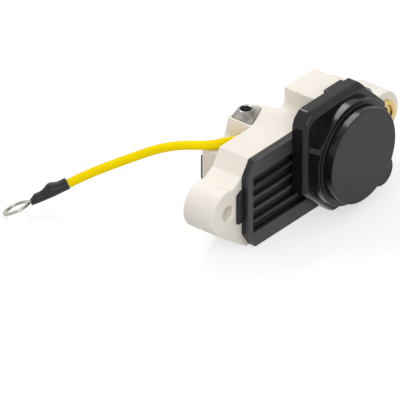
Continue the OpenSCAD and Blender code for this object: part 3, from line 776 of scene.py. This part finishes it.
class RegulatorLead(bpy.types.Operator):
    """Makes the lead with its heat-shrink sleeve and its ring terminal"""

    bl_idname = "regulator.lead"
    bl_label = "Lead"

    RING_TURN = math.radians(18)
    # The sleeve's distance behind the ring's middle and its radius, in millimetres
    STATIONS = [
        (5.3, 1.1), (5.45, 1.22), (6.2, 1.46), (7.0, 1.74), (7.8, 1.94), (8.8, 1.88),
        (9.8, 1.84), (10.8, 1.96), (11.8, 2.22), (12.7, 2.48), (13.5, 2.6), (14.3, 2.6),
        (15.1, 2.48), (15.9, 2.28), (16.7, 2.16), (17.6, 2.12), (18.6, 2.15), (19.4, 2.17),
        (19.75, 2.13), (19.9, 2.0),
    ]

    def execute(self, context):
        settings = context.scene.regulator_lead
        place = (
            Matrix.Translation(RING_AT)
            @ Matrix.Rotation(math.atan2(END_DIR.y, END_DIR.x), 4, "Z")
            @ Matrix.Rotation(-math.asin(END_DIR.z), 4, "Y")
            @ Matrix.Rotation(self.RING_TURN, 4, "X")
        )
        lead = self.make_lead(settings)
        sleeve = self.make_sleeve(place, settings)
        ring = self.make_ring(place, settings)
        return {"FINISHED"}

    def make_lead(self, settings):
        curve = bpy.data.curves.new("lead_wire", "CURVE")
        curve.dimensions = "3D"
        line = curve.splines.new("BEZIER")
        line.bezier_points.add(len(LEAD_LINE) - 1)
        for point, place in zip(line.bezier_points, LEAD_LINE):
            point.co = place
            point.handle_left_type = point.handle_right_type = "AUTO"
        line.resolution_u = 6
        line.use_smooth = True
        curve.bevel_depth = settings.width / 2
        curve.bevel_resolution = 6
        curve.use_fill_caps = True
        return dressed(linked("lead_wire", curve), "yellow_insulation", nodes=["lead"])

    def make_sleeve(self, place, settings):
        """A shrunk tube: narrow on the ring's barrel, a lump at the crimp, then the lead."""
        stations, sides, finer = self.STATIONS, 48, 4
        level_radius, rise_share = 0.00185, 0.75
        crease_share, creases_along, creases_round = 0.028, 420, 1.3
        flat_share, flat_run, opening_depth = 0.12, 0.004, 0.0012
        bm = bmesh.new()
        outside = []
        for i in range((len(stations) - 1) * finer + 1):
            k, part = min(i // finer, len(stations) - 2), i / finer
            part -= k
            ease = part * part * (3 - 2 * part)
            s = (stations[k][0] * (1 - part) + stations[k + 1][0] * part) / 1000
            radius = (stations[k][1] * (1 - ease) + stations[k + 1][1] * ease) / 1000
            flat = flat_share * max(0.0, 1 - (s - SLEEVE_START) / flat_run)
            rise = (radius - level_radius) * rise_share
            ring = []
            for a, b in circle(1.0, sides):
                spot = Vector((s * creases_along, a * creases_round, b * creases_round))
                r = radius * (1 + crease_share * noise.noise(spot))
                local = Vector((-s, r * (1 + flat * 0.5) * a, r * (1 - flat) * b + rise))
                ring.append(bm.verts.new(place @ local))
            outside.append(ring)

        def opening(s, radius):
            return [bm.verts.new(place @ Vector((-s, a, b))) for a, b in circle(radius, sides)]

        narrow, wide = 0.00035, settings.width / 2 - 0.00002
        join_rings(bm, [
            opening(SLEEVE_START + opening_depth, narrow), opening(SLEEVE_START, narrow),
            *outside,
            opening(SLEEVE_END, wide), opening(SLEEVE_END - opening_depth, wide),
        ])
        sleeve = from_bmesh(bm, "shrink_sleeve")
        return dressed(sleeve, "shrink_sleeve", nodes=["lead_sleeve"], sharp=60)

    def make_ring(self, place, settings):
        """A stamped ring with a neck, and the rolled barrel behind it."""
        outer, hole = settings.ring_out / 2, settings.ring_hole / 2
        half_neck, bevel, sides = 0.0012, 0.00018, 72
        core_r, barrel_r, chamfer = 0.0009, 0.0015, 0.00008
        neck_back = -BARREL_START - 0.0005
        barrel_front = -BARREL_START - 0.0003
        reach = math.asin(half_neck / outer)
        outline = [
            (outer * math.cos(t), outer * math.sin(t), 0)
            for t in (
                -math.pi + reach + (math.tau - 2 * reach) * k / sides for k in range(sides + 1)
            )
        ]
        outline += [(neck_back, half_neck, 0), (neck_back, -half_neck, 0)]
        curve = bpy.data.curves.new("ring", "CURVE")
        curve.dimensions = "2D"
        curve.fill_mode = "BOTH"
        for path in (outline, [(a, b, 0) for a, b in circle(hole, sides)]):
            add_line(curve, path).use_cyclic_u = True
        curve.extrude = settings.ring_thick / 2 - bevel
        curve.bevel_depth = bevel
        curve.bevel_resolution = 3
        curve.offset = -bevel
        bm = bmesh.new()
        bm.from_mesh(mesh_of(curve))
        bmesh.ops.remove_doubles(bm, verts=bm.verts, dist=1e-7)
        join_rings(bm, [
            [bm.verts.new((along, a, b)) for a, b in circle(radius, 48)]
            for radius, along in (
                (core_r, barrel_front), (barrel_r - chamfer, barrel_front),
                (barrel_r, neck_back), (barrel_r, -BARREL_END), (core_r, -BARREL_END),
            )
        ], closed=True)
        bm.transform(place)
        ring = from_bmesh(bm, "ring_lug")
        return dressed(ring, "tinned_metal", nodes=["ring_terminal"])


class RegulatorCarrier(bpy.types.Operator):
    """Makes the moulded carrier with soft edges"""

    bl_idname = "regulator.carrier"
    bl_label = "Carrier"

    def execute(self, context):
        most_triangles = 60000
        moulding = from_bmesh(solid_of("carrier"), "carrier_moulding")
        remesh = moulding.modifiers.new("Skin", "REMESH")
        remesh.mode = "VOXEL"
        remesh.voxel_size = 0.00028
        soften = moulding.modifiers.new("Soft edges", "SMOOTH")
        soften.factor = 0.5
        soften.iterations = 8
        fixed(moulding)
        thin = moulding.modifiers.new("Fewer faces", "DECIMATE")
        thin.ratio = min(1.0, most_triangles / max(1, 2 * len(moulding.data.polygons)))
        fixed(moulding)
        dressed(moulding, "cream_plastic", nodes=["carrier"], sharp=80)
        return {"FINISHED"}


class RegulatorHeatSink(bpy.types.Operator):
    """Makes the heat sink with bevelled ribs and edges"""

    bl_idname = "regulator.heat_sink"
    bl_label = "Heat sink"

    def execute(self, context):
        settings = context.scene.regulator_sink
        front = MOUNT_Y - SINK_FRONT + 0.0006
        side, bottom, top = 0.0355, 0.001, 0.0345

        def outside(p):
            return p.y < front or abs(p.x) > side or p.z < bottom or p.z > top

        sink = eased(solid_of("heat_sink"), "heat_sink_casting", settings.edge, outside)
        dressed(sink, "dark_aluminium", nodes=["heat_sink"], sharp=50)
        return {"FINISHED"}


class RegulatorHousing(bpy.types.Operator):
    """Makes the housing with its lugs and round steps, and the lid"""

    bl_idname = "regulator.housing"
    bl_label = "Housing and lid"

    # How much the flange's corners are cut: the lower left one differs along each side
    CUT, LEFT_CUT, BOTTOM_CUT = 0.0137, 0.0138, 0.0158
    LUG_R, LUG_PAST, LUG_PROUD = 0.0056, 0.0015, 0.0017
    TONGUE_HALF, TONGUE_FOOT, TONGUE_TOP, TONGUE_OFF = 0.00485, 0.035, 0.0451, 0.0017
    WEB_TURN = math.radians(156)

    def execute(self, context):
        settings = context.scene.regulator_housing
        self.make_housing(settings)
        self.make_lid(settings)
        return {"FINISHED"}

    def make_housing(self, settings):
        x, z, corner = HOUSING_X, HOUSING_Z, settings.corner
        left, right = x - HALF_WIDTH, x + HALF_WIDTH
        low, high = z - HALF_WIDTH, z + HALF_WIDTH
        # Each corner's X, Z and radius, and its side's share of the front edge's radius
        body = cushion([
            (left, low + self.LEFT_CUT, corner, 0.5), (left + self.BOTTOM_CUT, low, corner, 0.5),
            (right - self.CUT, low, corner, 0.4), (right, low + self.CUT, corner, 0.4),
            (right, high - self.CUT, corner, 0.4), (right - self.CUT, high, corner, 0.3),
            (left + 0.0040, high, 0.0018, 1.0), (left + 0.00105, high - 0.00248, 0.0025, 0.8),
            (left, high - 0.00508, 0.0025, 0.6),
        ], SINK_FRONT, FLANGE_FRONT, settings.edge, "regulator_housing")
        lug_x = right + self.LUG_PAST - self.LUG_R
        lug_left, lug_right, lug_top = lug_x - self.LUG_R, lug_x + self.LUG_R, 2 * self.LUG_R
        turned = self.LUG_R * 0.98
        lug = rounded([
            (lug_left, 0.0, turned), (lug_right, 0.0, turned), (lug_right, lug_top, turned),
            (lug_left, lug_top, 0.0004),
        ], steps=12)
        tongue_left = x + self.TONGUE_OFF - self.TONGUE_HALF
        tongue_right = x + self.TONGUE_OFF + self.TONGUE_HALF
        tongue = rounded([
            (tongue_left, self.TONGUE_FOOT, 0.0), (tongue_right, self.TONGUE_FOOT, 0.0),
            (tongue_right, self.TONGUE_TOP, 0.0005), (tongue_left, self.TONGUE_TOP, 0.0005),
        ], steps=3)
        combined(body, [
            prism(lug, SINK_FRONT, FLANGE_FRONT + self.LUG_PROUD, "lug", edge=0.0007),
            prism(tongue, BLOCK_FRONT, SINK_FRONT + 0.0005, "tongue"),
        ])
        self.bore(body, [(x, z)], radius=0.0152, back=0.010, front=0.030, sides=96)
        back, collar_front = SINK_FRONT + 0.00002, LID_BACK - 0.00015
        groove_back = COLLAR_FRONT - GROOVE_DEPTH
        steps = rounded([
            (CAVITY_R, back, 0), (STEP_R, back, 0), (STEP_R, STEP_FRONT, settings.rim),
            (COLLAR_OUT, STEP_FRONT, FINE_EDGE), (COLLAR_OUT, collar_front, 0.0002),
            (COLLAR_IN, collar_front, FINE_EDGE), (COLLAR_IN, COLLAR_FRONT, FINE_EDGE),
            (GROOVE_OUT, COLLAR_FRONT, 0), (GROOVE_OUT, groove_back, 0),
            (GROOVE_IN, groove_back, 0), (GROOVE_IN, COLLAR_FRONT, 0),
            (CAVITY_R, COLLAR_FRONT, 0),
        ])
        combined(body, [lathed(steps, x, z, "steps", sides=128), self.web()])
        self.bore(body, SCREW_PLACES, radius=SCREW_R, back=0.013, front=SCREW_END, sides=24)
        dressed(body, "black_plastic", nodes=["housing"], sharp=35)

    def bore(self, body, places, radius, back, front, sides):
        """Cuts round holes between two depths."""
        profile = [(0, back), (radius, back), (radius, front), (0, front)]
        combined(body, [lathed(profile, x, z, "hole", sides) for x, z in places], "DIFFERENCE")

    def web(self):
        """The small web between the lower step and the flange."""
        turn, half_thick, back = self.WEB_TURN, 0.001, 0.0220
        out = Vector((math.cos(turn), 0, math.sin(turn)))
        side = Vector((math.sin(turn), 0, -math.cos(turn))) * half_thick
        centre = Vector((HOUSING_X, 0, HOUSING_Z))
        bm = bmesh.new()
        join_rings(bm, [
            [
                bm.verts.new(centre + out * (STEP_R + reach) + side * way
                             + Vector((0, MOUNT_Y - depth, 0)))
                for reach, depth in (
                    (-0.0005, back), (0.0026, back), (0.0026, FLANGE_FRONT + 0.0001),
                    (0.0005, STEP_FRONT - 0.0001), (-0.0005, STEP_FRONT - 0.0001),
                )
            ]
            for way in (-1, 1)
        ])
        return from_bmesh(bm, "web")

    def make_lid(self, settings):
        plug = CAVITY_R - 0.00015
        hollow, plug_back = plug - 0.0014, COLLAR_FRONT - 0.0026
        profile = rounded([
            (0, COLLAR_FRONT + 0.001, 0), (hollow, COLLAR_FRONT + 0.001, 0),
            (hollow, plug_back, 0), (plug, plug_back, 0), (plug, COLLAR_FRONT, 0),
            (LID_NECK_R, COLLAR_FRONT, 0), (LID_NECK_R, LID_BACK, 0),
            (LID_R, LID_BACK, FINE_EDGE), (LID_R, LID_FRONT, settings.rim), (0, LID_FRONT, 0),
        ])
        lid = lathed(profile, HOUSING_X, HOUSING_Z, "round_lid", sides=160)
        dressed(lid, "black_plastic", nodes=["lid"], sharp=35, finish="lid_plastic")


class RegulatorBush(bpy.types.Operator):
    """Makes the brass bush in the right ear"""

    bl_idname = "regulator.bush"
    bl_label = "Ear bush"

    def execute(self, context):
        seat_r, flange_r, sink_r, sink_foot_r = BUSH_HOLE_R + 0.0014, 0.0058, 0.0041, 0.0037
        front = CARRIER_FRONT + 0.00115
        edge = 0.0002
        bush = lathed(rounded([
            (BUSH_HOLE_R, 0, edge), (seat_r, 0, edge), (seat_r, CARRIER_FRONT, 0),
            (flange_r, CARRIER_FRONT, FINE_EDGE), (flange_r, front, 0.00025),
            (sink_r, front, 0.0003), (sink_foot_r, CARRIER_FRONT + 0.0002, edge),
            (BUSH_HOLE_R, CARRIER_FRONT, edge),
        ]), EAR_X, EAR_Z, "brass_bush", sides=72)
        dressed(bush, "bush_brass", nodes=["ear_bush"])
        return {"FINISHED"}


class RegulatorTerminal(bpy.types.Operator):
    """Makes the screw terminal and the thread in its hole"""

    bl_idname = "regulator.terminal"
    bl_label = "Screw terminal"

    def execute(self, context):
        cap_foot, thread_foot = 0.0345, 0.0319
        terminal = eased(
            solid_of("screw_terminal"), "terminal_cap", width=0.00018,
            keep=lambda p: p.z > cap_foot,
        )
        dressed(terminal, "tinned_metal", nodes=["screw_terminal"], sharp=30)
        pitch, turns, steps = 0.0008, 7, 32
        # The thread's section, outwards from the hole's wall and upwards
        section = (
            (0.00004, -0.00039), (0.00004, 0.00039), (-0.00030, 0.00003), (-0.00030, -0.00003)
        )
        bm = bmesh.new()
        rings = []
        for i in range(turns * steps + 1):
            turn = math.tau * i / steps
            z = thread_foot + pitch * i / steps
            rings.append([
                bm.verts.new((
                    TERMINAL_X + (TERMINAL_HOLE_R + out) * math.cos(turn),
                    TERMINAL_Y + (TERMINAL_HOLE_R + out) * math.sin(turn), z + lift,
                ))
                for out, lift in section
            ])
        join_rings(bm, rings)
        thread = from_bmesh(bm, "terminal_thread")
        # Painted shade: the thread's near-black finish darkens the inside of the hole
        dressed(thread, "tinned_metal", sharp=30, finish="thread_painted_shade")
        return {"FINISHED"}


class RegulatorScrews(bpy.types.Operator):
    """Makes the three screws that hold the housing, with cross recesses"""

    bl_idname = "regulator.screws"
    bl_label = "Housing screws"

    def execute(self, context):
        head_r, tip_r = 0.0022, 0.0006
        seat = CARRIER_FRONT - 0.0041
        head_back, tip_start = seat - 0.0018, 0.0204
        slot_long, slot_thin = 0.0013, 0.00025
        profile = rounded([
            (0, head_back, 0), (head_r, head_back, 0.0009), (head_r, seat, 0.0001),
            (SCREW_R, seat, 0), (SCREW_R, tip_start, 0), (tip_r, SCREW_END, 0),
            (0, SCREW_END, 0),
        ])
        screws = []
        for x, z in SCREW_PLACES:
            screw = lathed(profile, x, z, "housing_screw", sides=40)
            for a, b in ((slot_long, slot_thin), (slot_thin, slot_long)):
                slot = [(x - a, z - b), (x + a, z - b), (x + a, z + b), (x - a, z + b)]
                cut = prism(slot, seat - 0.0030, seat - 0.0009, "slot")
                combined(screw, [cut], "DIFFERENCE")
            screws.append(screw)
        dressed(
            merged(screws, "housing_screw_set"), "screw_steel", nodes=["housing_screws"],
            sharp=30,
        )
        return {"FINISHED"}


class RegulatorBrushes(bpy.types.Operator):
    """Makes the two carbon brushes with their springs and braided leads"""

    bl_idname = "regulator.brushes"
    bl_label = "Brushes"

    def execute(self, context):
        for side, x in BRUSHES.items():
            brush = eased(solid_of("brush_" + side), side + "_carbon", width=0.00022, angle=40)
            dressed(brush, "carbon", side + "_brush", ["brush_" + side])
            spring = self.make_spring(side, x)
            dressed(spring, "spring_steel", nodes=["spring_" + side])
            self.squash(spring, side, x, CHAMBER_FRONT, BRUSH_ROOT)
            braid = self.make_braid(side, x)
            dressed(braid, "copper", nodes=["pigtail_" + side])
            self.squash(braid, side, x, STRIP_BACK, BRAID_ROOT)
        return {"FINISHED"}

    def squash(self, piece, side, x, front, back):
        """Gives a piece its own copy of its mesh."""
        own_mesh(piece)

    def make_spring(self, side, x):
        coil_r, wire, turns, steps = 0.00175, 0.00025, 8, 24
        run = CHAMBER_FRONT - BRUSH_ROOT - 2 * wire
        path = [
            at_depth(
                x + coil_r * math.cos(math.tau * i / steps),
                BRUSH_ROOT + wire + run * i / (turns * steps),
                BRUSH_Z + coil_r * math.sin(math.tau * i / steps),
            )
            for i in range(turns * steps + 1)
        ]
        return self.tube(path, wire, side + "_coil")

    def make_braid(self, side, x):
        """The flexible lead as three strands twisted together."""
        offset, strand_r, turns, steps = 0.00026, 0.0003, 4, 18
        strands = []
        for strand in range(3):
            path = []
            for i in range(turns * steps + 1):
                turn = math.tau * (i / steps + strand / 3)
                path.append(at_depth(
                    x + offset * math.cos(turn),
                    BRAID_ROOT + (STRIP_BACK - BRAID_ROOT) * i / (turns * steps),
                    BRUSH_Z + offset * math.sin(turn),
                ))
            strands.append(self.tube(path, strand_r, "strand"))
        return merged(strands, side + "_braid")

    def tube(self, path, radius, name):
        curve = bpy.data.curves.new(name, "CURVE")
        curve.dimensions = "3D"
        add_line(curve, path)
        curve.bevel_depth = radius
        curve.bevel_resolution = 2
        curve.use_fill_caps = True
        return linked(name, mesh_of(curve))


class RegulatorInside(bpy.types.Operator):
    """Gives the enclosed pieces their finishes"""

    bl_idname = "regulator.inside"
    bl_label = "Enclosed pieces"

    FINISHES = {
        "lid_seal": "seal_rubber", "thermal_pad": "pad_rubber", "base_plate": "plate_aluminium",
        "circuit_plate": "ceramic", "control_chip": "chip_epoxy", "power_chip": "chip_epoxy",
        "flyback_diode": "chip_epoxy", "capacitors": "capacitor_ceramic",
        "contact_pins": "strip_brass", "bond_wires": "wire_aluminium",
        "brush_strip_left": "strip_brass", "brush_strip_right": "strip_brass",
        "terminal_strip": "strip_brass", "lead_strip": "strip_brass", "lead_core": "copper",
        "crimped_core": "copper",
    }

    def execute(self, context):
        for node, slot in self.FINISHES.items():
            for material_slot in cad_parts[node].material_slots:
                material_slot.material = finish_for(slot)
        return {"FINISHED"}


class RegulatorPanel(bpy.types.Panel):
    """Lists the pieces of the regulator and their settings"""

    bl_idname = "VIEW3D_PT_regulator"
    bl_label = "Regulator"
    bl_space_type = "VIEW_3D"
    bl_region_type = "UI"
    bl_category = "Regulator"

    def draw(self, context):
        scene = context.scene
        for group in SETTINGS:
            box = self.layout.box()
            settings = getattr(scene, group)
            for label in settings.__annotations__:
                box.prop(settings, label)
        for operator in OPERATORS:
            self.layout.operator(operator.bl_idname)


SETTINGS = {
    "regulator_stage": RegulatorStageSettings,
    "regulator_lead": RegulatorLeadSettings,
    "regulator_carrier": RegulatorCarrierSettings,
    "regulator_sink": RegulatorSinkSettings,
    "regulator_housing": RegulatorHousingSettings,
}
OPERATORS = (
    RegulatorStage, RegulatorLead, RegulatorCarrier, RegulatorHeatSink, RegulatorHousing,
    RegulatorBush, RegulatorTerminal, RegulatorScrews, RegulatorBrushes, RegulatorInside,
)


def register():
    for cls in (*SETTINGS.values(), *OPERATORS, RegulatorPanel):
        bpy.utils.register_class(cls)
    for name, cls in SETTINGS.items():
        setattr(bpy.types.Scene, name, bpy.props.PointerProperty(type=cls))


def unregister():
    for name in SETTINGS:
        delattr(bpy.types.Scene, name)
    for cls in (RegulatorPanel, *reversed(OPERATORS), *reversed(SETTINGS.values())):
        bpy.utils.unregister_class(cls)


def main():
    register()
    for operator in OPERATORS:
        group, name = operator.bl_idname.split(".")
        getattr(getattr(bpy.ops, group), name)()
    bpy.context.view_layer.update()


if __name__ == "__main__":
    main()
